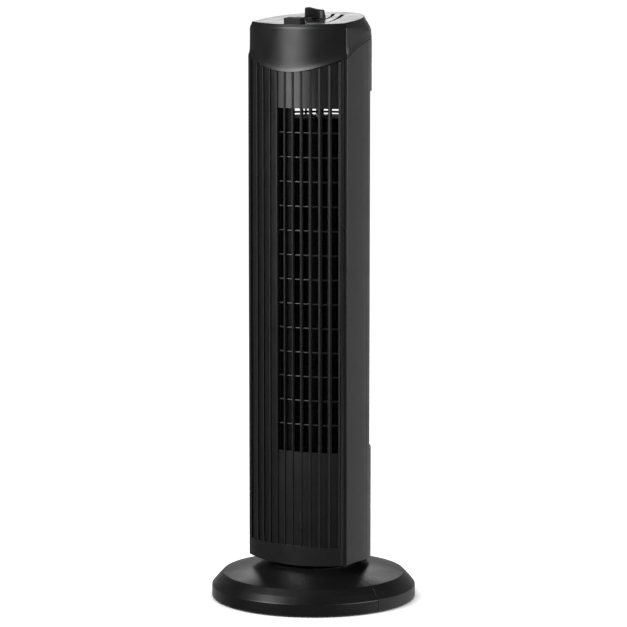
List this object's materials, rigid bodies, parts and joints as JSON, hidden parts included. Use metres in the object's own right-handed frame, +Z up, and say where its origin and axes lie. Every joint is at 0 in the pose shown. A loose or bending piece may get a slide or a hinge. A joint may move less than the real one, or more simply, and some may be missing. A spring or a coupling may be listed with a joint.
{
  "type": "tower fan",
  "caption": "Black plastic tower fan: a curved column with a finned front outlet and slotted rear inlet, swinging on a round two-piece base, with a sloped control panel on top.",
  "frame": {"origin": "on the floor, at the centre of the round base, which is the axis that the column swings about", "axes": "+Z up, -Y the way the air leaves at rest, +X to the right seen from behind the fan looking along +Y"},
  "size_m": [0.247, 0.247, 0.7132],
  "materials": {
    "shell_plastic": "black moulded plastic with a fine satin grain",
    "panel_plastic": "smooth satin black plastic",
    "inner_plastic": "plain black moulded plastic",
    "rubber": "soft black rubber",
    "acetal": "natural acetal",
    "brass": "turned",
    "laminations": "stacked sheet steel",
    "steel": "zinc plated",
    "capacitor_case": "pale moulded case"
  },
  "bodies": {
    "base": {"base_front_half": "shell_plastic", "base_rear_half": "shell_plastic", "foot_1": "rubber", "foot_2": "rubber", "foot_3": "rubber", "foot_4": "rubber", "foot_5": "rubber", "foot_6": "rubber", "base_screw_1": "steel", "base_screw_2": "steel", "base_screw_3": "steel", "base_screw_4": "steel", "neck": "inner_plastic", "slip_ring": "acetal"},
    "head": {"bottom_plate": "inner_plastic", "pivot_washer": "steel", "pivot_clip": "steel", "swing_motor": "steel", "front_shell": "shell_plastic", "rear_shell": "shell_plastic", "rear_grille": "shell_plastic", "front_grille": "shell_plastic", "cord_grommet": "rubber", "housing_screw_1": "steel", "housing_screw_2": "steel", "housing_screw_3": "steel", "housing_screw_4": "steel", "top_cap": "shell_plastic", "control_panel": "panel_plastic", "speed_switch": "inner_plastic", "swing_switch": "inner_plastic", "scroll_wall": "inner_plastic", "vortex_wall": "inner_plastic", "upper_deck": "inner_plastic", "bearing_cushion": "rubber", "top_bearing": "brass", "lower_deck": "inner_plastic", "motor_cradle": "steel", "motor_lower_cover": "steel", "motor_upper_cover": "steel", "motor_stator": "laminations", "motor_lower_bush": "brass", "motor_upper_bush": "brass", "motor_screw_1": "steel", "motor_screw_2": "steel", "motor_screw_3": "steel", "capacitor": "capacitor_case"},
    "blower": {"blower_wheel": "inner_plastic", "wheel_hub": "rubber", "wheel_top_pin": "steel", "motor_rotor": "laminations", "motor_shaft": "steel"},
    "knob": {"speed_knob": "shell_plastic", "switch_shaft": "brass"},
    "button": {"swing_button": "shell_plastic"},
    "crank": {"swing_crank": "acetal"}
  },
  "joints": [
    {"name": "head_swing", "type": "hinge", "parent": "base", "child": "head", "pos_m": [0, 0, 0.045], "axis": [0, 0, 1], "range_deg": [-32.5, 32.5]},
    {"name": "blower_spin", "type": "hinge", "parent": "head", "child": "blower", "pos_m": [0.005, 0.01, 0.38], "axis": [0, 0, 1], "continuous": true},
    {"name": "knob_turn", "type": "hinge", "parent": "head", "child": "knob", "pos_m": [-0.0015, 0.006, 0.70046], "axis": [0, -0.1021, 0.9948], "range_deg": [-90, 0]},
    {"name": "button_press", "type": "slide", "parent": "head", "child": "button", "axis": [0, 0.1021, -0.9948], "range_m": [0, 0.003], "stiffness_N_per_m": 400},
    {"name": "crank_turn", "type": "hinge", "parent": "head", "child": "crank", "pos_m": [0, 0.025, 0.045], "axis": [0, 0, 1], "range_deg": [-37.5, 37.5]}
  ],
  "couplings": [
    {"joint": "crank_turn", "follows": "head_swing", "ratio": 1.15}
  ]
}
